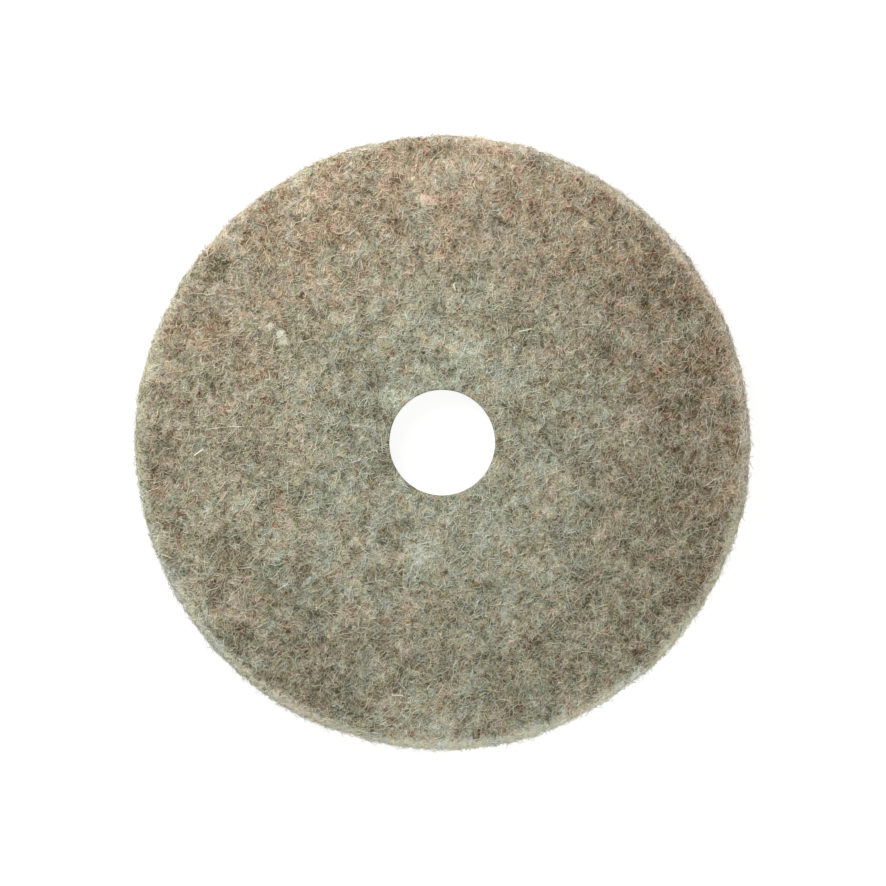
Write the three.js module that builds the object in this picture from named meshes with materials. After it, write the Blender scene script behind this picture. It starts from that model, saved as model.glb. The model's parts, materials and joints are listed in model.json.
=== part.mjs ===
// A natural-hair floor polishing pad: one thick round disc of bonded, needled fibre.
// A plain round hole in the middle clears the hub of the pad driver on the floor machine.
// Units are millimetres and +Z is up. The pad lies on its working face, and the origin is
// the centre of the hole in the plane of that face.
import * as THREE from "three";

// Driving dimensions
const padDiameter = 482.6; // 19 inch trade size
const holeDiameter = 82.55; // 3 1/4 inch, the usual hub hole
const thickness = 25.4; // 1 inch
const rimRound = 8; // the soft cut edge rolls over at the top and bottom of the rim
const holeRound = 1.5; // the hole is punched cleaner and keeps a sharper edge

// Fineness of the round shapes
const turnSteps = 96; // facets once round the disc
const arcSteps = 2; // each quarter-round edge is drawn in twice this many straight steps

const rightAngle = Math.PI / 2;
const rimRadius = padDiameter / 2;
const holeRadius = holeDiameter / 2;

// The section through one side of the ring, drawn as radius against height, anticlockwise
// from the inner end of the working face.
function ringSection() {
  const faceInner = holeRadius + holeRound;
  const faceOuter = rimRadius - rimRound;
  const section = new THREE.Path();
  section.moveTo(faceInner, 0);
  section.lineTo(faceOuter, 0);
  section.absarc(faceOuter, rimRound, rimRound, -rightAngle, 0);
  section.lineTo(rimRadius, thickness - rimRound);
  section.absarc(faceOuter, thickness - rimRound, rimRound, 0, rightAngle);
  section.lineTo(faceInner, thickness);
  section.absarc(faceInner, thickness - holeRound, holeRound, rightAngle, 2 * rightAngle);
  section.lineTo(holeRadius, holeRound);
  section.absarc(faceInner, holeRound, holeRound, 2 * rightAngle, 3 * rightAngle);
  return section.getPoints(arcSteps);
}

// Needled hair and synthetic fibre, a warm grey-brown with no gloss.
function hairFelt() {
  return new THREE.MeshStandardMaterial({ color: 0x918672, roughness: 0.95, metalness: 0 });
}

// The whole pad is cut from one web, so it is one solid: the section turned once round the axis.
function polishingPad() {
  const pad = new THREE.Mesh(new THREE.LatheGeometry(ringSection(), turnSteps), hairFelt());
  pad.name = "polishing_pad";
  pad.rotation.x = rightAngle; // a lathe turns about Y, and the pad's axis is Z
  return pad;
}

const part = new THREE.Group();
part.add(polishingPad());

export default part;
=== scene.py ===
# %% [markdown]
# # A hair-fibre floor polishing pad
# The real pad is one thick disc of needled animal hair and synthetic fibre, bonded just enough to keep
# its shape. Nothing on it is smooth: what the eye reads as a surface is thousands of loose fibres that
# cross each other over a lumpy mat. So the lesson has two halves. First a solid, lumpy mat is modelled,
# and then hair is grown on it as real geometry.

# %% Load the measured part
import json
import math

import bpy
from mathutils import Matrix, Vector

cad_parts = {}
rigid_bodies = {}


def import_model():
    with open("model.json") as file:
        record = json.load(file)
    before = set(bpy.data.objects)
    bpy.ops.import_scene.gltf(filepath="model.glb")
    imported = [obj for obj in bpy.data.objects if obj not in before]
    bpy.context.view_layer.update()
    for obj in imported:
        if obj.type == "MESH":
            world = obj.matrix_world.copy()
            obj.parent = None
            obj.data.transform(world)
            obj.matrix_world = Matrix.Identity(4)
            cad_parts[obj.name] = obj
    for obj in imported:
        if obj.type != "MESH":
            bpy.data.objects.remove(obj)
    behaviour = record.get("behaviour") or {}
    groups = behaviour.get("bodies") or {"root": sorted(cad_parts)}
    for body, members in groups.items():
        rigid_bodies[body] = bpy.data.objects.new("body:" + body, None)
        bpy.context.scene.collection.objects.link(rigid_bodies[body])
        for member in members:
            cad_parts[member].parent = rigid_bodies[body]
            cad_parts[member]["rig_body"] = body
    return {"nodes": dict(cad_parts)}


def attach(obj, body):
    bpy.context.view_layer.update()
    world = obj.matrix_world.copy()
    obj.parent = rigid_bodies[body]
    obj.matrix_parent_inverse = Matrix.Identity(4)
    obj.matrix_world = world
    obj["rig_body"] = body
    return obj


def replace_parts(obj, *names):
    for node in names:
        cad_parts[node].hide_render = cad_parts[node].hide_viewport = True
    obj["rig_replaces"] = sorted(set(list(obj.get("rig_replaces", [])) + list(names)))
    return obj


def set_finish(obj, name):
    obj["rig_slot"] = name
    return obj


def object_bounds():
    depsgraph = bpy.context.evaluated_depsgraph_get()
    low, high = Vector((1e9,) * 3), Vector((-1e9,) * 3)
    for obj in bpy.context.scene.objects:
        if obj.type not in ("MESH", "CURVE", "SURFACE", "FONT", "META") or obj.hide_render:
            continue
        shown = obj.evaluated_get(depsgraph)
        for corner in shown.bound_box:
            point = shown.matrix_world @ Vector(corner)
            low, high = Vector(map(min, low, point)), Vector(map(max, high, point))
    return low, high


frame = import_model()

cad_low, cad_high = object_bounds()
cad_pad = frame["nodes"]["polishing_pad"]
MM = 0.001
pad_radius = cad_high.x
thickness = cad_high.z
hole_radius = min(vertex.co.xy.length for vertex in cad_pad.data.vertices)
print(f"pad radius {pad_radius / MM:.1f} mm, hole radius {hole_radius / MM:.2f} mm")
print(f"thickness {thickness / MM:.1f} mm")

# %% [markdown]
# ## The camera
# The photograph looks straight down on the pad from far enough away that neither the hole's wall nor
# the rim's wall shows. A long lens well above the pad does the same. Its length follows from how wide
# the pad is in the picture.

# %% Place the camera
PICTURE_SIDE = 886  # pixels
PAD_CENTRE_PX = (442.1, 442.6)
PAD_RADIUS_PX = 307.2
CAMERA_HEIGHT = 9.0  # metres
SENSOR_WIDTH = 36.0  # millimetres, as a lens is given

pixel = pad_radius / PAD_RADIUS_PX
camera_x = (PICTURE_SIDE / 2 - PAD_CENTRE_PX[0]) * pixel
camera_y = (PAD_CENTRE_PX[1] - PICTURE_SIDE / 2) * pixel
bpy.ops.object.camera_add(location=(camera_x, camera_y, CAMERA_HEIGHT), rotation=(0, 0, 0))
camera = bpy.context.object
camera.name = "overhead_camera"
camera.data.sensor_width = SENSOR_WIDTH
camera.data.lens = SENSOR_WIDTH * (CAMERA_HEIGHT - thickness / 2) / (PICTURE_SIDE * pixel)
bpy.context.scene.camera = camera
print(f"one pixel is {pixel / MM:.3f} mm, lens {camera.data.lens:.0f} mm")

# %% [markdown]
# ## Node maths as Python
# Both the felt's material and the modifier that grows the hair are node trees, and both need sums of
# noises. One small class wraps an output socket, so that `1 - mask * 0.5` adds the Math nodes by
# itself. A second one wraps a tree, and one method of it adds every other kind of node. The same pair
# serves shader trees and geometry trees.

# %% Wrap a socket
class Value:
    """An output socket that can be added, multiplied and compared like a number."""

    def __init__(self, nodes, socket):
        self.nodes = nodes
        self.socket = socket

    def math(self, operation, first, second=0.0):
        made = self.nodes.add("ShaderNodeMath", {"operation": operation}, {0: first, 1: second})
        return made["Value"]

    def __add__(self, other):
        return self.math("ADD", self, other)

    def __radd__(self, other):
        return self.math("ADD", other, self)

    def __sub__(self, other):
        return self.math("SUBTRACT", self, other)

    def __rsub__(self, other):
        return self.math("SUBTRACT", other, self)

    def __mul__(self, other):
        return self.math("MULTIPLY", self, other)

    def __rmul__(self, other):
        return self.math("MULTIPLY", other, self)

    def __truediv__(self, other):
        return self.math("DIVIDE", self, other)

    def __rtruediv__(self, other):
        return self.math("DIVIDE", other, self)

    def __pow__(self, other):
        return self.math("POWER", self, other)

    def __lt__(self, other):
        return self.math("LESS_THAN", self, other)

    def __gt__(self, other):
        return self.math("GREATER_THAN", self, other)

    def at_least(self, other):
        return self.math("MAXIMUM", self, other)

    def at_most(self, other):
        return self.math("MINIMUM", self, other)


print("a socket can be used as a number")

# %% Wrap a tree
class Nodes:
    """A node tree, with one method that adds a node, its settings and then its inputs."""

    def __init__(self, tree):
        self.tree = tree

    def add(self, kind, settings=None, inputs=None):
        node = self.tree.nodes.new(kind)
        for name, setting in (settings or {}).items():
            if name == "stops":
                self.set_stops(node.color_ramp, setting)
            else:
                setattr(node, name, setting)
        for key, source in (inputs or {}).items():
            self.feed(self.find(node.inputs, key), source)
        return {socket.name: Value(self, socket) for socket in node.outputs if socket.enabled}

    def find(self, sockets, key):
        if isinstance(key, int):
            return sockets[key]
        return next(socket for socket in sockets if socket.name == key and socket.enabled)

    def feed(self, socket, source):
        if isinstance(source, Value):
            self.tree.links.new(source.socket, socket)
        else:
            socket.default_value = source

    def set_stops(self, ramp, stops):
        while len(ramp.elements) < len(stops):
            ramp.elements.new(1.0)
        for element, (position, colour) in zip(ramp.elements, stops):
            element.position = position
            element.color = (*colour, 1.0)

    def noise(self, place, size, detail=0.0, seed=0.0):
        """A soft random field from about 0 to 1 whose blobs measure size metres across."""
        settings = {"noise_dimensions": "4D"}
        inputs = {"Vector": place, "W": seed, "Scale": 1 / size, "Detail": detail}
        return self.add("ShaderNodeTexNoise", settings, inputs)["Fac"]

    def step(self, value, low, high):
        """0 below low, 1 above high and a smooth rise between them."""
        settings = {"interpolation_type": "SMOOTHSTEP"}
        inputs = {"Value": value, "From Min": low, "From Max": high}
        return self.add("ShaderNodeMapRange", settings, inputs)["Result"]

    def mix_colours(self, share, first, second, way="MIX"):
        settings = {"data_type": "RGBA", "blend_type": way}
        inputs = {"Factor": share, "A": first, "B": second}
        return self.add("ShaderNodeMix", settings, inputs)["Result"]


print("a tree can add nodes by name")

# %% [markdown]
# ## The stage
# The pad lies on a plain white floor. To the camera the floor glows almost white by itself, and the
# light that falls on it adds the rest, so the pad's soft shadow stays. A wide lamp stands near at the
# upper left, because the pad is clearly brighter at that side. A weak low one lights the rim at the
# lower right, and a white sky fills the shadows.

# %% Floor and sky
FLOOR_SIDE = 12.0
FLOOR_GLOW = 0.88
FLOOR_WHITE = 0.24  # what the camera sees lit, on top of the glow
BOUNCE_WHITE = 0.8  # what the pad sees
SKY_STRENGTH = 0.44


def seen_directly(nodes):
    """1 for rays that come straight from the camera, or by way of a mirror or glass."""
    path = nodes.add("ShaderNodeLightPath")
    seen = path["Is Camera Ray"] + path["Is Glossy Ray"] + path["Is Transmission Ray"]
    return seen.at_most(1.0)


def floor_finish():
    material = bpy.data.materials.new("white_floor")
    material.use_nodes = True
    material.node_tree.nodes.clear()
    nodes = Nodes(material.node_tree)
    plain = nodes.add("ShaderNodeBsdfDiffuse", None, {"Color": (BOUNCE_WHITE,) * 3 + (1,)})["BSDF"]
    shaded = nodes.add("ShaderNodeBsdfDiffuse", None, {"Color": (FLOOR_WHITE,) * 3 + (1,)})["BSDF"]
    glow = nodes.add("ShaderNodeEmission", None, {"Strength": FLOOR_GLOW})["Emission"]
    bright = nodes.add("ShaderNodeAddShader", None, {0: shaded, 1: glow})["Shader"]
    shown = nodes.add("ShaderNodeMixShader", None, {0: seen_directly(nodes), 1: plain, 2: bright})
    nodes.add("ShaderNodeOutputMaterial", None, {"Surface": shown["Shader"]})
    return material


def white_sky():
    world = bpy.data.worlds.new("white_sky")
    world.use_nodes = True
    world.node_tree.nodes.clear()
    nodes = Nodes(world.node_tree)
    seen = seen_directly(nodes)
    strength = seen + (1 - seen) * SKY_STRENGTH
    sky = nodes.add("ShaderNodeBackground", None, {"Color": (1, 1, 1, 1), "Strength": strength})
    nodes.add("ShaderNodeOutputWorld", None, {"Surface": sky["Background"]})
    return world


bpy.ops.object.select_all(action="DESELECT")
bpy.ops.mesh.primitive_plane_add(size=FLOOR_SIDE, location=(0, 0, 0))
floor = bpy.context.object
floor.name = "floor"
floor.data.materials.append(floor_finish())
bpy.context.scene.world = white_sky()
bpy.context.scene.view_settings.view_transform = "Standard"
print(f"floor of {FLOOR_SIDE:.0f} m under a white sky")

# %% Lamps
LAMPS = [  # name, place, watts, side
    ("key_lamp", Vector((-0.48, 0.58, 0.70)), 9.4, 0.6),
    ("fill_lamp", Vector((0.65, -0.85, 0.4)), 3.0, 0.7),
]

for name, place, watts, side in LAMPS:
    bpy.ops.object.light_add(type="AREA", location=place)
    lamp = bpy.context.object
    lamp.name = name
    lamp.rotation_euler = (-place).to_track_quat("-Z", "Y").to_euler()
    lamp.data.energy = watts
    lamp.data.size = side
    print(f"{name}: {watts} W at {place.length:.2f} m")

# %% [markdown]
# ## The mat: one section, spun round
# Under the loose hair the pad is a dense mat: a flat ring with a soft rolled rim and a cleaner edge at
# the punched hole. It could be a cylinder with a boolean hole, but spinning one section keeps even
# rings of faces, which the lumps need later. The section is a plane whose corners are bevelled and
# whose sides are subdivided.

# %% Draw the section
FUZZ = 1.1 * MM  # the mat ends this far inside the measured rim, and loose hair makes up the rest
SPRING_BACK = 0.25 * MM  # the punched wall of the hole gives way this much
RIM_ROUND = 8 * MM
HOLE_ROUND = 1.5 * MM
RIM_ARC = 6
HOLE_ARC = 2

mat_radius = pad_radius - FUZZ
mat_hole = hole_radius + SPRING_BACK
section_width = mat_radius - mat_hole
section_middle = (mat_radius + mat_hole) / 2


def select_section(mesh, wanted, kind):
    """Selects the section's vertices, or the edges whose middle passes the test, in edit mode."""
    bpy.ops.object.mode_set(mode="EDIT")
    bpy.ops.mesh.select_mode(type=kind)
    bpy.ops.mesh.select_all(action="DESELECT")
    bpy.ops.object.mode_set(mode="OBJECT")
    if kind == "VERT":
        for vertex in mesh.vertices:
            vertex.select = wanted(vertex.co)
    else:
        for edge in mesh.edges:
            first, second = (mesh.vertices[index].co for index in edge.vertices)
            edge.select = wanted((first + second) / 2)
    bpy.ops.object.mode_set(mode="EDIT")


bpy.ops.object.select_all(action="DESELECT")
bpy.ops.mesh.primitive_plane_add(
    size=1, location=(section_middle, 0, thickness / 2), rotation=(math.pi / 2, 0, 0))
pad_body = bpy.context.object
pad_body.name = "pad_body"
pad_body.scale = (section_width, thickness, 1)
bpy.ops.object.transform_apply(location=True, rotation=True, scale=True)
section = pad_body.data

select_section(section, lambda place: place.x > section_middle, "VERT")
bpy.ops.mesh.bevel(offset=RIM_ROUND, segments=RIM_ARC, affect="VERTICES")
select_section(section, lambda place: place.x < mat_hole + MM, "VERT")
bpy.ops.mesh.bevel(offset=HOLE_ROUND, segments=HOLE_ARC, affect="VERTICES")
bpy.ops.mesh.select_all(action="SELECT")
bpy.ops.mesh.delete(type="ONLY_FACE")
print(f"section {section_width / MM:.1f} by {thickness / MM:.1f} mm")

# %% [markdown]
# Blender's operators don't promise the order of the points and faces that they make, and the hair is
# scattered face by face in that order. So after the spin everything is sorted by its distance from the
# 3D cursor, and the pad comes out the same in every run.

# %% Cut its sides and spin it
HAIRSBREADTH = 0.01 * MM
SPIN_STEPS = 420
SIDES = [  # side of the section, cuts, and which edges lie on it
    ("face", 72, lambda place: place.z > thickness - HAIRSBREADTH),
    ("underside", 26, lambda place: place.z < HAIRSBREADTH),
    ("rim", 4, lambda place: place.x > mat_radius - HAIRSBREADTH),
    ("bore", 7, lambda place: place.x < mat_hole + HAIRSBREADTH),
]
SORT_FROM = (0.37, 0.91, 1.7)  # an odd place, so that no two points are equally far from it

for title, cuts, wanted in SIDES:
    select_section(section, wanted, "EDGE")
    bpy.ops.mesh.subdivide(number_cuts=cuts)
    print(f"{title}: {cuts} cuts")
bpy.ops.mesh.select_all(action="SELECT")
bpy.ops.mesh.spin(
    steps=SPIN_STEPS, angle=2 * math.pi, center=(0, 0, 0), axis=(0, 0, 1), use_auto_merge=True)
bpy.ops.mesh.select_mode(type="FACE")
bpy.ops.mesh.select_all(action="SELECT")
bpy.ops.mesh.remove_doubles(threshold=HAIRSBREADTH)
bpy.ops.mesh.normals_make_consistent(inside=False)
bpy.context.scene.cursor.location = SORT_FROM
bpy.ops.mesh.sort_elements(type="CURSOR_DISTANCE", elements={"VERT", "EDGE", "FACE"})
bpy.ops.object.mode_set(mode="OBJECT")
bpy.ops.object.shade_smooth()
print(f"mat spun: {len(section.vertices)} points, {len(section.polygons)} faces")

# %% [markdown]
# ## Lumps
# Needling leaves the mat uneven: broad soft swells, clumps about a finger wide and small tufts. Each is
# a Displace modifier with its own cloud texture, applied in turn. A vertex group keeps the punched hole
# nearly clean, and the underside is pressed flat where it would sink below the floor.

# %% Displace the mat
HOLE_CLEAN = 5 * MM  # the lumps fade out this near to the hole
HOLE_SHARE = 0.1  # and this much of them is left at its wall
LUMPS = [  # name, size and height
    ("swells", 100 * MM, 4.0 * MM),
    ("clumps", 18 * MM, 3.4 * MM),
    ("tufts", 6 * MM, 0.9 * MM),
]


def finish_modifiers(piece):
    """Applies all modifiers of a piece, in order."""
    bpy.ops.object.select_all(action="DESELECT")
    piece.select_set(True)
    bpy.context.view_layer.objects.active = piece
    for modifier in list(piece.modifiers):
        bpy.ops.object.modifier_apply(modifier=modifier.name)


loose = pad_body.vertex_groups.new(name="loose")
for vertex in section.vertices:
    from_hole = vertex.co.xy.length - mat_hole
    loose.add([vertex.index], min(max(from_hole / HOLE_CLEAN, HOLE_SHARE), 1.0), "REPLACE")
for title, size, height in LUMPS:
    cloud = bpy.data.textures.new(title, "CLOUDS")
    cloud.noise_scale = size
    lump = pad_body.modifiers.new(title, "DISPLACE")
    lump.texture = cloud
    lump.texture_coords = "LOCAL"
    lump.strength = height
    lump.mid_level = 0.5
    lump.vertex_group = "loose"
finish_modifiers(pad_body)
pad_body.vertex_groups.clear()
for vertex in pad_body.data.vertices:
    vertex.co.z = max(vertex.co.z, 0.0)
print(f"mat lumped: highest point at {max(v.co.z for v in pad_body.data.vertices) / MM:.1f} mm")

# %% [markdown]
# ## One palette for mat and hair
# The web is a blend of dark and pale hair with olive and brown synthetics, and small knots of rust and
# teal. Every shade is one point on a card with two directions: tone, from dark to pale, and hue, from
# teal to rust. Bluish and yellowish hues take turns on the way, so that neighbours on the pad differ in
# both. The mat reads the card from noises on its own coordinates. Each hair is given one point of the
# card in its UV map, so a whole card of colours costs one material.

# %% The palette card
TONES = [  # from dark brown hair, over dull straw, to bleached ends
    (0.0, (0.063, 0.053, 0.038)),
    (0.25, (0.188, 0.170, 0.146)),
    (0.5, (0.430, 0.420, 0.420)),
    (0.75, (0.655, 0.660, 0.730)),
    (1.0, (0.860, 0.885, 1.030)),
]
HUES = [  # each is multiplied with the tone
    (0.0, (0.90, 1.01, 0.77)),  # teal
    (0.14, (0.965, 1.005, 0.69)),  # grey-green
    (0.25, (0.99, 1.00, 0.79)),  # bluish grey
    (0.37, (1.03, 0.99, 0.645)),  # olive
    (0.48, (1.08, 0.97, 0.735)),  # mauve grey
    (0.59, (1.14, 0.96, 0.615)),  # tan
    (0.72, (1.21, 0.935, 0.70)),  # pinkish brown
    (0.86, (1.32, 0.88, 0.60)),  # orange brown
    (1.0, (1.45, 0.81, 0.62)),  # rust
]
CARD_MARGIN = 0.02


def on_card(value):
    """Keeps a tone or a hue inside the card."""
    return value.at_least(CARD_MARGIN).at_most(1 - CARD_MARGIN)


def shade_of(nodes, tone, hue):
    level = nodes.add("ShaderNodeValToRGB", {"stops": TONES}, {"Fac": tone})["Color"]
    tint = nodes.add("ShaderNodeValToRGB", {"stops": HUES}, {"Fac": hue})["Color"]
    return nodes.mix_colours(1.0, level, tint, "MULTIPLY")


print(f"palette card of {len(TONES)} tones by {len(HUES)} hues")

# %% [markdown]
# ## Where the shades lie
# Drifts, clumps and tufts come from noises of falling size, and pits and knots of rust and teal are
# where small noises peak. The pits are painted darker, as painted shade in deep gaps of the web. On
# top of that the tone is darker towards the outside and the right, and the hue browner towards the
# upper rim. The cut rim is painted paler, partly for its pale hair ends and, most of all at the lower
# right, as painted light; at the right it is darker. Soft clumps and single marks, such as a thin
# whitish patch, are blobs at places read off the picture.

# %% Noises and marks
NOISES = {  # size of the blobs, detail and seed
    "drift": (50 * MM, 1.0, 2.3),
    "clump": (17 * MM, 1.0, 5.6),
    "tuft": (6 * MM, 1.0, 9.4),
    # painted shade: where this small noise peaks, the mat and hair are painted darker for deep gaps in the
    # web
    "pit_shade": (2.6 * MM, 0.0, 30.7),
    "rust": (4.5 * MM, 0.0, 40.3),
    "teal": (4.5 * MM, 0.0, 44.6),
    "patch": (32 * MM, 1.0, 14.4),
    "dab": (8 * MM, 1.0, 17.7),
}
NOISE_TURN = (0.5, 0.7, 0.6)  # noise cells are square, so they are turned askew to the pad
NOISE_MIDDLE = 0.5
PIT_SHADE_PEAK = (0.5, 0.72)  # where a peak of the noise begins and is full
KNOT_PEAK = (0.6, 0.78)
MARKS = [  # what it is, its place in pixels, its radius, and its tone and hue
    ("whitish patch, upper end", (269.5, 326), 4 * MM, 0.94, 0.31),
    ("whitish patch, middle", (280, 334), 5 * MM, 1.0, 0.31),
    ("whitish patch, lower end", (283, 341), 5 * MM, 1.0, 0.31),
    ("pink tuft", (424, 199), 5 * MM, 1.06, 0.7),
    ("pink tuft, right end", (432, 202), 4.5 * MM, 0.88, 0.7),
    ("orange knot", (275, 526), 2.5 * MM, 0.62, 0.86),
]
MARK_CORE = 0.3  # a mark is full within this share of its radius
MARK_RAGGED = 6 * MM  # and this ragged at its edge
SOFT_CLUMPS = [  # where, its place in pixels, its radius, and how much paler or darker
    ("upper left rim", (220, 263), 21 * MM, -0.2),
    ("left of the hole, upper end", (362, 374), 34 * MM, -0.18),
    ("left of the hole, middle", (352, 420), 32 * MM, -0.14),
    ("left of the hole, lower end", (380, 472), 28 * MM, -0.15),
    ("above right of the hole", (525, 338), 18 * MM, -0.15),
    ("lower left", (226, 545), 28 * MM, -0.18),
    ("lower left rim", (257, 673), 18 * MM, -0.17),
    ("far below the hole", (424, 660), 18 * MM, -0.14),
    ("right", (697, 373), 20 * MM, -0.14),
    ("lower right", (632, 622), 20 * MM, -0.13),
    ("top", (470, 175), 56 * MM, 0.1),
    ("upper left", (325, 278), 28 * MM, 0.15),
    ("left", (192, 365), 18 * MM, 0.15),
    ("below the hole", (428, 556), 30 * MM, 0.19),
    ("bottom rim", (436, 728), 56 * MM, 0.16),
    ("lower right rim", (568, 701), 18 * MM, 0.15),
    ("right of the hole", (640, 425), 26 * MM, 0.12),
]


def off_centre(nodes, place, centre=(0.0, 0.0)):
    """How far a place is, seen from above, from a centre."""
    apart = nodes.add("ShaderNodeVectorMath", {"operation": "SUBTRACT"}, {0: place, 1: (*centre, 0.0)})
    flat = nodes.add("ShaderNodeVectorMath", {"operation": "MULTIPLY"}, {0: apart["Vector"], 1: (1, 1, 0)})
    return nodes.add("ShaderNodeVectorMath", {"operation": "LENGTH"}, {0: flat["Vector"]})["Value"]


def on_pad(spot):
    """The place on the pad that a picture point shows."""
    return (spot[0] - PAD_CENTRE_PX[0]) * pixel, (PAD_CENTRE_PX[1] - spot[1]) * pixel


print(f"{len(MARKS)} single marks and {len(SOFT_CLUMPS)} soft clumps placed")

# %% Tone and hue at a place
LOWER_RIGHT = (-1.7, 0.4)  # begins and is full this far out that way, in pad radii
RIGHT = (0.2, 1.0)
OUTER = (0.15, 0.85)
UPPER = (-0.7, 1.1)
UPPER_LEAST = 0.3  # how much of the brown is left at the bottom
RIM_STARTS = 9.7 * MM  # inside the edge
RIM_FULL = 2 * MM
RIM_WIDER = 1 * MM  # at the lower right
BASE_TONE = 0.767
BASE_HUE = 0.27
TONE_SHARES = {"drift": 0.24, "clump": 0.42, "tuft": 0.55}
HUE_SHARES = {"patch": 0.42, "dab": 0.72}
OUTER_DARKER = 0.11
RIGHT_DARKER = 0.06
# painted shade in the pits
PAINTED_PIT_SHADE = 0.17
RUST_DARKER = 0.1
TEAL_DARKER = 0.08
KNOT_HUE = 0.28
UPPER_BROWNER = 0.31
RIGHT_BROWNER = 0.1
FAR_RIGHT = 4  # a power that keeps this brown to the far right
# the rim is painted paler: a little for its pale cut hair ends, and at the lower right much more, as
# painted light
RIM_PALER = 0.04
RIM_PAINTED_LIGHT_LOWER = 0.42  # and this much more at the lower right
RIM_DARKER_RIGHT = 0.12
RIM_GREENER = 0.09
RIM_GREENER_RIGHT = 0.06
RIM_BROWNER_LOWER = 0.08
RIM_CALM = 0.4  # stray hues count for this much less at the rim


def blend_at(nodes, place):
    """The web's tone and hue at a place, with painted shade in the pits and painted light on the rim."""
    askew = nodes.add("ShaderNodeVectorRotate", {"rotation_type": "EULER_XYZ"}, {
        "Vector": place, "Rotation": NOISE_TURN,
    })["Vector"]
    fields = {title: nodes.noise(askew, *row) for title, row in NOISES.items()}
    pit_shade = nodes.step(fields["pit_shade"], *PIT_SHADE_PEAK)
    rust = nodes.step(fields["rust"], *KNOT_PEAK)
    teal = nodes.step(fields["teal"], *KNOT_PEAK)

    parts = nodes.add("ShaderNodeSeparateXYZ", None, {0: place})
    out = off_centre(nodes, place)
    lower_right = nodes.step((parts["X"] - parts["Y"]) / pad_radius, *LOWER_RIGHT)
    right = nodes.step(parts["X"] / pad_radius, *RIGHT)
    outer = nodes.step(out / pad_radius, *OUTER)
    upper = UPPER_LEAST + nodes.step(parts["Y"] / pad_radius, *UPPER) * (1 - UPPER_LEAST)
    rim = nodes.step(out + lower_right * RIM_WIDER, pad_radius - RIM_STARTS, pad_radius - RIM_FULL)

    tone = BASE_TONE - outer * OUTER_DARKER - right * RIGHT_DARKER
    for title, share in TONE_SHARES.items():
        tone = tone + (fields[title] - NOISE_MIDDLE) * share
    # The pits are painted shade for deep gaps in the web.
    tone = tone - pit_shade * PAINTED_PIT_SHADE - rust * RUST_DARKER - teal * TEAL_DARKER
    # The rim is painted paler, partly for its pale cut hair ends and, most of all at the lower right, as
    # painted light; at the right it is painted darker.
    tone = tone + rim * (RIM_PALER + lower_right * RIM_PAINTED_LIGHT_LOWER - right * RIM_DARKER_RIGHT)
    for _, spot, radius, paler in SOFT_CLUMPS:
        tone = tone + nodes.step(off_centre(nodes, place, on_pad(spot)), radius, 0.0) * paler

    strays = rust * KNOT_HUE - teal * KNOT_HUE
    for title, share in HUE_SHARES.items():
        strays = strays + (fields[title] - NOISE_MIDDLE) * share
    hue = BASE_HUE + upper * outer * UPPER_BROWNER + right ** FAR_RIGHT * RIGHT_BROWNER
    hue = hue + strays * (1 - rim * RIM_CALM)
    hue = hue + rim * (lower_right * RIM_BROWNER_LOWER - right * RIM_GREENER_RIGHT - RIM_GREENER)

    ragged = (fields["tuft"] - NOISE_MIDDLE) * MARK_RAGGED
    for _, spot, radius, own_tone, own_hue in MARKS:
        away = off_centre(nodes, place, on_pad(spot)) + ragged
        mark = nodes.step(away, radius, radius * MARK_CORE)
        tone = tone + mark * (own_tone - tone)
        hue = hue + mark * (own_hue - hue)
    return tone, hue


print(f"shades read from {len(NOISES)} noises")

# %% [markdown]
# ## The mat's material
# Between the hairs the mat shows as a tangle too fine to model. It is drawn as crossing fibres: a noise
# stretched long and thin, laid in several directions, each bent by another noise. The brightest of them
# wins at each spot, as the uppermost fibre does, and the same drawing drives the bump.

# %% Draw the tangle
FIBRE_LENGTH = 7 * MM
FIBRE_WIDTH = 0.7 * MM
FIBRE_TURNS = 5
FIBRE_TILT = 0.7  # radians, so that the walls don't show one grain
FIBRE_BEND = 5 * MM
FIBRE_BEND_SIZE = 14 * MM
FIBRE_SHOWS = (0.5, 0.82)  # where the stretched noise begins to be a fibre and is fully one
FIBRE_DETAIL = 1.5
LAYER_APART = 0.1


def fibre_net(nodes, place):
    bent = nodes.add("ShaderNodeTexNoise", None, {
        "Vector": place, "Scale": 1 / FIBRE_BEND_SIZE, "Detail": 1.0,
    })["Color"]
    push = nodes.add("ShaderNodeVectorMath", {"operation": "SCALE"}, {0: bent, "Scale": FIBRE_BEND})
    curled = nodes.add("ShaderNodeVectorMath", {"operation": "ADD"}, {0: place, 1: push["Vector"]})
    net = None
    for turn in range(FIBRE_TURNS):
        turned = nodes.add("ShaderNodeMapping", {"vector_type": "TEXTURE"}, {
            "Vector": curled["Vector"],
            "Location": (0.0, 0.0, LAYER_APART * turn),
            "Rotation": (FIBRE_TILT * (-1) ** turn, 0.0, math.pi * turn / FIBRE_TURNS),
            "Scale": (FIBRE_LENGTH, FIBRE_WIDTH, FIBRE_LENGTH),
        })["Vector"]
        layer = nodes.add("ShaderNodeTexNoise", None, {
            "Vector": turned, "Scale": 1.0, "Detail": FIBRE_DETAIL,
        })["Fac"]
        net = layer if net is None else net.at_least(layer)
    return nodes.step(net, *FIBRE_SHOWS)


print(f"tangle of {FIBRE_TURNS} layers")

# %% Felt for the mat
GRAIN_SIZE = 0.9 * MM
GRAIN_SEED = 21.0
MAT_DARKER = 0.4  # the mat lies in the hair's shade
NET_PALER = 0.55
GRAIN_SHARE = 0.5
BUMP_DEPTH = 0.8 * MM
BUMP_STRENGTH = 0.7
FELT_ROUGHNESS = 0.95
FELT_GLOSS = 0.1


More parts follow.
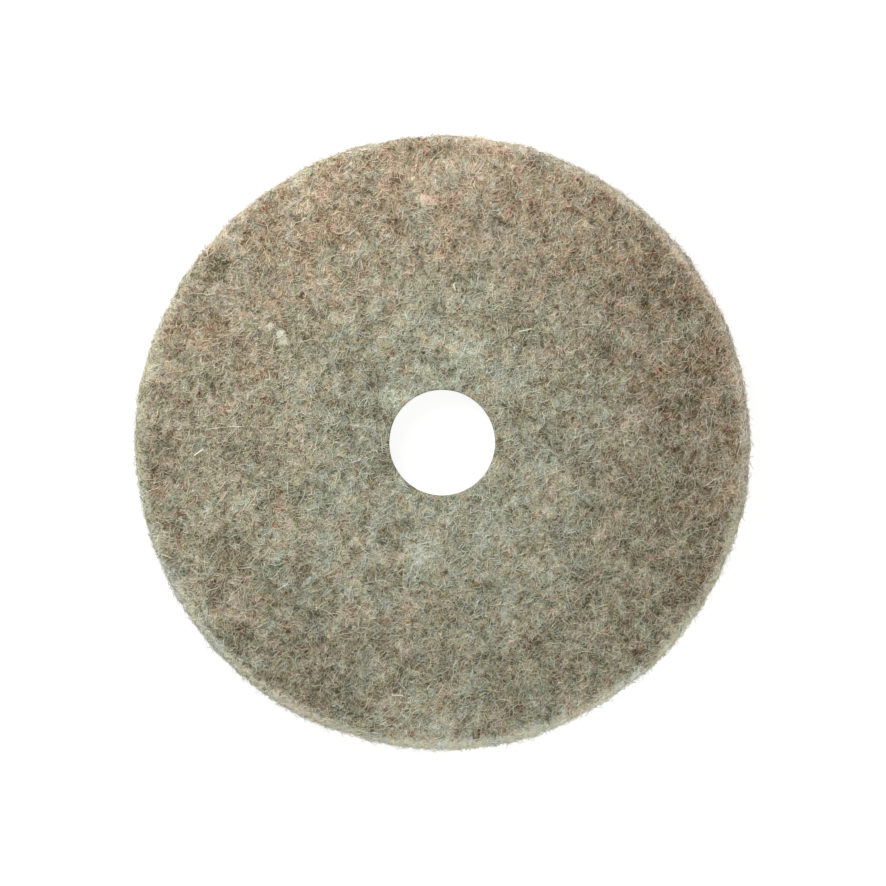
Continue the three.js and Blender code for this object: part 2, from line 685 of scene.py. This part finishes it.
def felt_finish():
    material = bpy.data.materials.new("hair_felt_mat")
    material.use_nodes = True
    material.node_tree.nodes.clear()
    nodes = Nodes(material.node_tree)
    place = nodes.add("ShaderNodeTexCoord")["Object"]
    tone, hue = blend_at(nodes, place)
    net = fibre_net(nodes, place)
    grain = nodes.noise(place, GRAIN_SIZE, 1.0, GRAIN_SEED)
    shade = tone - MAT_DARKER + net * NET_PALER + (grain - NOISE_MIDDLE) * GRAIN_SHARE
    bump = nodes.add("ShaderNodeBump", None, {
        "Strength": BUMP_STRENGTH, "Distance": BUMP_DEPTH, "Height": net + grain * GRAIN_SHARE,
    })
    shader = nodes.add("ShaderNodeBsdfPrincipled", None, {
        "Base Color": shade_of(nodes, on_card(shade), on_card(hue)),
        "Roughness": FELT_ROUGHNESS,
        "Specular IOR Level": FELT_GLOSS,
        "Normal": bump["Normal"],
    })["BSDF"]
    nodes.add("ShaderNodeOutputMaterial", None, {"Surface": shader})
    return material


pad_body.data.materials.clear()
pad_body.data.materials.append(felt_finish())
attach(pad_body, "root")
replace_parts(pad_body, "polishing_pad")
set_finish(pad_body, "hair_felt")
print("mat finished and riding on the root body")

# %% [markdown]
# ## Growing the hair
# Real strands make the rim fuzzy, catch the light and shade each other, which no bump does. A particle
# system could scatter them, but a Geometry Nodes modifier gives each strand its own bends and lets it
# hug the mat. Points are spread over a copy of the mat, a short line is laid at each, a noise bends it,
# every point of it is dropped back on to the nearest surface, and a triangular section makes it a
# closed body. Applying the modifier leaves plain mesh.

# %% A tree for one crop
class HairTree(Nodes):
    """The geometry tree of one crop of hair."""

    def __init__(self, title):
        tree = bpy.data.node_groups.new(title, "GeometryNodeTree")
        tree.interface.new_socket("Mat", in_out="INPUT", socket_type="NodeSocketGeometry")
        tree.interface.new_socket("Hair", in_out="OUTPUT", socket_type="NodeSocketGeometry")
        super().__init__(tree)
        self.draws = 0

    def random(self, low, high):
        self.draws += 1
        return self.add("FunctionNodeRandomValue", {"data_type": "FLOAT"}, {
            "Min": low, "Max": high, "Seed": self.draws,
        })["Value"]

    def keep(self, geometry, name, value, kind="FLOAT", domain="POINT"):
        settings = {"data_type": kind, "domain": domain}
        return self.add("GeometryNodeStoreNamedAttribute", settings, {
            "Geometry": geometry, "Name": name, "Value": value,
        })["Geometry"]

    def kept(self, name):
        settings = {"data_type": "FLOAT"}
        return self.add("GeometryNodeInputNamedAttribute", settings, {"Name": name})["Attribute"]

    def vector(self, operation, first, second):
        key = "Scale" if operation == "SCALE" else 1
        made = self.add("ShaderNodeVectorMath", {"operation": operation}, {0: first, key: second})
        return made["Vector"]

    def on_mat(self, mat, value, place):
        """A vector of the mat, read at its point nearest to a place."""
        return self.add("GeometryNodeSampleNearestSurface", {"data_type": "FLOAT_VECTOR"}, {
            "Mesh": mat, "Value": value, "Sample Position": place,
        })["Value"]


print("crop tree ready")

# %% [markdown]
# Each root keeps what its hair needs later: a shade near the web's, moved by the crop's painted light, a
# number for its own bends, how high it arches, how far its end stands up and how thick it is. Most ends
# lie flat, so the draw for them is raised to a high power. The line at each root is turned at random in
# the surface.

# %% Roots and lines
HUE_SPREAD = 0.012  # how far one hair's hue strays from the web's
OWN_BENDS = 100.0  # range of the number that tells one hair's bends from another's
FEW_TIPS = 6


def scatter_roots(nodes, mat, place, normal, crop):
    spread = nodes.add("GeometryNodeDistributePointsOnFaces", None, {
        "Mesh": mat, "Density": crop["density"](nodes, place, normal), "Seed": crop["seed"],
    })
    tone, hue = blend_at(nodes, place)
    stray = nodes.random(-1.0, 1.0) + nodes.random(-1.0, 1.0)
    # The crop's paler shift is painted: the low crops darker as shade deep in the web, the high crops and
    # the edge hair paler as painted light.
    tone = tone + crop["paler"] + stray * crop["spread"]
    hue = hue + nodes.random(-HUE_SPREAD, HUE_SPREAD)
    roots = nodes.keep(spread["Points"], "tone", on_card(tone))
    roots = nodes.keep(roots, "hue", on_card(hue))
    roots = nodes.keep(roots, "own", nodes.random(0.0, OWN_BENDS))
    roots = nodes.keep(roots, "lift", nodes.random(*crop["lift"]))
    roots = nodes.keep(roots, "tip", nodes.random(0.0, 1.0) ** FEW_TIPS * crop["tip"])
    roots = nodes.keep(roots, "girth", nodes.random(*crop["girth"]))
    return roots, spread["Rotation"]


def lay_lines(nodes, roots, facing, crop):
    line = nodes.add("GeometryNodeCurvePrimitiveLine", None, {
        "Start": (-0.5, 0, 0), "End": (0.5, 0, 0),
    })["Curve"]
    line = nodes.add("GeometryNodeResampleCurve", None, {"Curve": line, "Count": crop["joints"]})
    spin = nodes.add("ShaderNodeCombineXYZ", None, {"Z": nodes.random(0.0, 2 * math.pi)})["Vector"]
    turn = nodes.add("FunctionNodeRotateRotation", {"rotation_space": "LOCAL"}, {
        "Rotation": facing, "Rotate By": spin,
    })["Rotation"]
    length = nodes.random(*crop["length"])
    lines = nodes.add("GeometryNodeInstanceOnPoints", None, {
        "Points": roots, "Instance": line["Curve"], "Rotation": turn, "Scale": length,
    })["Instances"]
    return nodes.add("GeometryNodeRealizeInstances", None, {"Geometry": lines})["Geometry"]


print("roots and lines ready")

# %% [markdown]
# A bent line would cut through the lumps, so every point of it goes back to the mat's nearest point and
# from there out along the mat's normal: both ends sink in a little and the middle arches up. No point
# may hang into the hole or below the floor. The strand is thickest in the middle.

# %% Strands
BORE_TRIM = 0.4 * MM  # hair is cut off this far outside the hole's wall
TIP_CURVE = 3
END_GIRTH = 0.25  # share of the girth that is left at the ends
UV_NAME = "OFBake"
SHADE_SPAN = 0.006  # how far one hair's patch reaches across the palette card
PATCH_CENTRE = (0.33, 0.5)


def lay_on_mat(nodes, hair, mat, place, normal, along, arch, crop):
    bend = nodes.add("ShaderNodeTexNoise", {"noise_dimensions": "4D"}, {
        "Vector": place, "W": nodes.kept("own"), "Scale": 1 / crop["curl"], "Detail": 0.0,
    })["Color"]
    bend = nodes.vector("SUBTRACT", bend, (NOISE_MIDDLE,) * 3)
    bend = nodes.vector("SCALE", bend, crop["bend"])
    hair = nodes.add("GeometryNodeSetPosition", None, {"Geometry": hair, "Offset": bend})["Geometry"]

    near = nodes.on_mat(mat, place, place)
    out = nodes.on_mat(mat, normal, place)
    height = arch * nodes.kept("lift") - crop["sink"] + along ** TIP_CURVE * nodes.kept("tip")
    laid = nodes.vector("ADD", near, nodes.vector("SCALE", out, height))
    parts = nodes.add("ShaderNodeSeparateXYZ", None, {0: laid})
    trim = ((mat_hole + BORE_TRIM) / off_centre(nodes, laid)).at_least(1.0)
    laid = nodes.add("ShaderNodeCombineXYZ", None, {
        "X": parts["X"] * trim, "Y": parts["Y"] * trim, "Z": parts["Z"].at_least(0.0),
    })["Vector"]
    return nodes.add("GeometryNodeSetPosition", None, {"Geometry": hair, "Position": laid})["Geometry"]


def thicken(nodes, hair, arch):
    ring = nodes.add("GeometryNodeCurvePrimitiveCircle", None, {"Resolution": 3, "Radius": 1.0})["Curve"]
    ring = nodes.keep(ring, "around", nodes.add("GeometryNodeSplineParameter")["Factor"])
    girth = nodes.kept("girth") * (END_GIRTH + arch * (1 - END_GIRTH))
    strands = nodes.add("GeometryNodeCurveToMesh", None, {
        "Curve": hair, "Profile Curve": ring, "Scale": girth, "Fill Caps": True,
    })["Mesh"]
    card = nodes.add("ShaderNodeCombineXYZ", None, {
        "X": nodes.kept("tone") + (nodes.kept("around") - PATCH_CENTRE[0]) * SHADE_SPAN,
        "Y": nodes.kept("hue") + (nodes.kept("along") - PATCH_CENTRE[1]) * SHADE_SPAN,
    })["Vector"]
    return nodes.keep(strands, UV_NAME, card, "FLOAT2", "CORNER")


def hair_tree(crop):
    """The whole tree of a crop, from the mat to closed strands."""
    nodes = HairTree(crop["name"] + "_tree")
    mat = nodes.add("NodeGroupInput")["Mat"]
    place = nodes.add("GeometryNodeInputPosition")["Position"]
    normal = nodes.add("GeometryNodeInputNormal")["Normal"]
    roots, facing = scatter_roots(nodes, mat, place, normal, crop)
    hair = lay_lines(nodes, roots, facing, crop)
    along = nodes.add("GeometryNodeSplineParameter")["Factor"]
    arch = along * (1 - along) * 4
    hair = nodes.keep(hair, "along", along)
    hair = lay_on_mat(nodes, hair, mat, place, normal, along, arch, crop)
    nodes.add("NodeGroupOutput", None, {"Hair": thicken(nodes, hair, arch)})
    return nodes.tree


print("hair modifier ready")

# %% [markdown]
# ## The hair's material
# A hair has one shade, so its material only looks up the palette card at the hair's UV point.

# %% Finish for the hair
HAIR_ROUGHNESS = 0.7
HAIR_GLOSS = 0.25


def hair_finish():
    material = bpy.data.materials.new("hair_strands")
    material.use_nodes = True
    material.node_tree.nodes.clear()
    nodes = Nodes(material.node_tree)
    card = nodes.add("ShaderNodeUVMap", {"uv_map": UV_NAME})["UV"]
    parts = nodes.add("ShaderNodeSeparateXYZ", None, {0: card})
    shader = nodes.add("ShaderNodeBsdfPrincipled", None, {
        "Base Color": shade_of(nodes, parts["X"], parts["Y"]),
        "Roughness": HAIR_ROUGHNESS,
        "Specular IOR Level": HAIR_GLOSS,
    })["BSDF"]
    nodes.add("ShaderNodeOutputMaterial", None, {"Surface": shader})
    return material


hair_material = hair_finish()
print("hair finish ready")

# %% [markdown]
# ## Six crops of hair
# The top face is thick with hair in five crops, each higher than the one below. The lower crops are
# painted darker, as painted shade deep in the web, and the higher ones paler, as painted light: a dark
# ground, hair matted down on it, hair that crosses that, short upper hair, and a thin crop of long
# loose ends. The sixth covers the rim and, thinly, the underside. It stands up most, because it makes
# the pad's fuzzy outline, and it is painted palest, as painted light on the fringe. The wall of the
# hole stays bare. Hair is counted for each square metre.

# %% Where hair grows
FACE_UP = 0.55  # the top face is where the normal points up by more than this
EDGE_UP = 0.7
BORE_ZONE = 1.3  # in hole radii


def on_face(amount):
    def density(nodes, place, normal):
        up = nodes.add("ShaderNodeSeparateXYZ", None, {0: normal})["Z"]
        return (up > FACE_UP) * amount
    return density


def round_the_edges(rim, under):
    def density(nodes, place, normal):
        up = nodes.add("ShaderNodeSeparateXYZ", None, {0: normal})["Z"]
        out = nodes.add("ShaderNodeVectorMath", {"operation": "LENGTH"}, {0: place})["Value"]
        below = up < -EDGE_UP
        side = (up < EDGE_UP) - below
        bore = out < hole_radius * BORE_ZONE
        return side * rim * (1 - bore) + below * under
    return density


# paler is painted: the low crops darker as painted shade deep in the web, the high crops and the edge hair
# paler as painted light
CROPS = [
    dict(name="ground_hair", seed=1, density=on_face(75000), paler=-0.18, spread=0.15,
         length=(3 * MM, 6.5 * MM), girth=(0.26 * MM, 0.42 * MM), lift=(0.2 * MM, 0.6 * MM),
         tip=1 * MM, sink=0.15 * MM, curl=4 * MM, bend=9 * MM, joints=3),
    dict(name="matted_hair", seed=2, density=on_face(75000), paler=-0.03, spread=0.13,
         length=(3 * MM, 6.5 * MM), girth=(0.24 * MM, 0.38 * MM), lift=(0.4 * MM, 1.1 * MM),
         tip=1.5 * MM, sink=0.15 * MM, curl=3.5 * MM, bend=9 * MM, joints=3),
    dict(name="crossing_hair", seed=3, density=on_face(53500), paler=0.06, spread=0.125,
         length=(3 * MM, 7 * MM), girth=(0.22 * MM, 0.36 * MM), lift=(0.7 * MM, 1.6 * MM),
         tip=2 * MM, sink=0.15 * MM, curl=3.5 * MM, bend=10 * MM, joints=4),
    dict(name="upper_hair", seed=4, density=on_face(56000), paler=0.09, spread=0.14,
         length=(1.8 * MM, 4.2 * MM), girth=(0.18 * MM, 0.28 * MM), lift=(1.0 * MM, 2.0 * MM),
         tip=2 * MM, sink=0.1 * MM, curl=3.5 * MM, bend=9 * MM, joints=3),
    dict(name="loose_hair", seed=5, density=on_face(15000), paler=0.14, spread=0.1,
         length=(7 * MM, 20 * MM), girth=(0.17 * MM, 0.27 * MM), lift=(1.0 * MM, 2.4 * MM),
         tip=3 * MM, sink=0.2 * MM, curl=9 * MM, bend=10 * MM, joints=5),
    dict(name="edge_hair", seed=6, density=round_the_edges(130000, 16000), paler=0.16, spread=0.145,
         length=(4 * MM, 9 * MM), girth=(0.18 * MM, 0.34 * MM), lift=(0.3 * MM, 2.2 * MM),
         tip=5.5 * MM, sink=0.2 * MM, curl=4 * MM, bend=10 * MM, joints=3),
]
print(f"{len(CROPS)} crops planned")

# %% Grow the crops
COPIED_MARKS = ("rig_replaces", "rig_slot", "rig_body")  # a copy of the mat doesn't stand for the pad too
SCRATCH = ("tone", "hue", "own", "lift", "tip", "girth", "along", "around")


def grow(crop):
    bpy.ops.object.select_all(action="DESELECT")
    pad_body.select_set(True)
    bpy.context.view_layer.objects.active = pad_body
    bpy.ops.object.duplicate()
    hair = bpy.context.object
    hair.name = crop["name"]
    for mark in COPIED_MARKS:
        del hair[mark]
    growth = hair.modifiers.new("growth", "NODES")
    growth.node_group = hair_tree(crop)
    finish_modifiers(hair)
    for name in SCRATCH:
        hair.data.attributes.remove(hair.data.attributes[name])
    hair.data.materials.clear()
    hair.data.materials.append(hair_material)
    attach(hair, "root")
    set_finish(hair, "hair_felt")
    triangles = sum(len(face.vertices) - 2 for face in hair.data.polygons)
    print(f"{crop['name']}: {triangles} triangles")


for crop in CROPS:
    grow(crop)

# %% [markdown]
# ## Stray bristles
# A few single fibres catch the eye on this pad: stiff, straight and paler or redder than the rest. Each
# is a thin six-sided cylinder laid between two points of the picture, a little above the mat where a
# ray dropped from above lands. They are joined to one piece, and each takes its shade from one point of
# the palette card as the hair does.

# %% Lay the bristles
BRISTLE_SIDES = 6
BRISTLE_GIRTH = 0.45 * MM
BRISTLE_LIFT = 2.4 * MM
BRISTLES = [  # what it is, both ends in pixels, tone and hue
    ("cream bristle at the left", (194.6, 455.3), (203.0, 449.5), 0.98, 0.5),
    ("cream bristle at the bottom", (391.5, 694.5), (403.3, 695.3), 0.9, 0.45),
    ("yellowish bristle above the hole", (453.4, 284.0), (455.4, 290.5), 0.96, 0.37),
    ("dull bristle above the hole", (518.9, 332.0), (531.6, 329.0), 0.8, 0.45),
    ("dark red bristle above the hole", (480.2, 315.5), (487.3, 314.8), 0.4, 0.98),
]


def lay_bristle(first_px, second_px, tone, hue):
    first = Vector((*on_pad(first_px), 0.0))
    run = Vector((*on_pad(second_px), 0.0)) - first
    above = first + run / 2 + Vector((0, 0, 2 * thickness))
    landed = pad_body.ray_cast(above, Vector((0, 0, -1)))[1]
    bpy.ops.mesh.primitive_cylinder_add(vertices=BRISTLE_SIDES, radius=BRISTLE_GIRTH, depth=run.length)
    bristle = bpy.context.object
    bristle.location = landed + Vector((0, 0, BRISTLE_LIFT))
    bristle.rotation_euler = run.to_track_quat("Z", "Y").to_euler()
    bristle.data.uv_layers[0].name = UV_NAME
    for corner in bristle.data.uv_layers[UV_NAME].data:
        across, up = corner.uv
        corner.uv = (tone + (across - 0.5) * SHADE_SPAN, hue + (up - 0.5) * SHADE_SPAN)
    return bristle


laid_bristles = [lay_bristle(*row) for _, *row in BRISTLES]
bpy.ops.object.select_all(action="DESELECT")
for bristle in laid_bristles:
    bristle.select_set(True)
stray_bristles = laid_bristles[0]
bpy.context.view_layer.objects.active = stray_bristles
bpy.ops.object.join()
bpy.ops.object.transform_apply(location=True, rotation=True, scale=True)
stray_bristles.name = "stray_bristles"
stray_bristles.data.materials.clear()
stray_bristles.data.materials.append(hair_material)
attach(stray_bristles, "root")
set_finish(stray_bristles, "hair_felt")
print(f"{len(BRISTLES)} bristles laid")
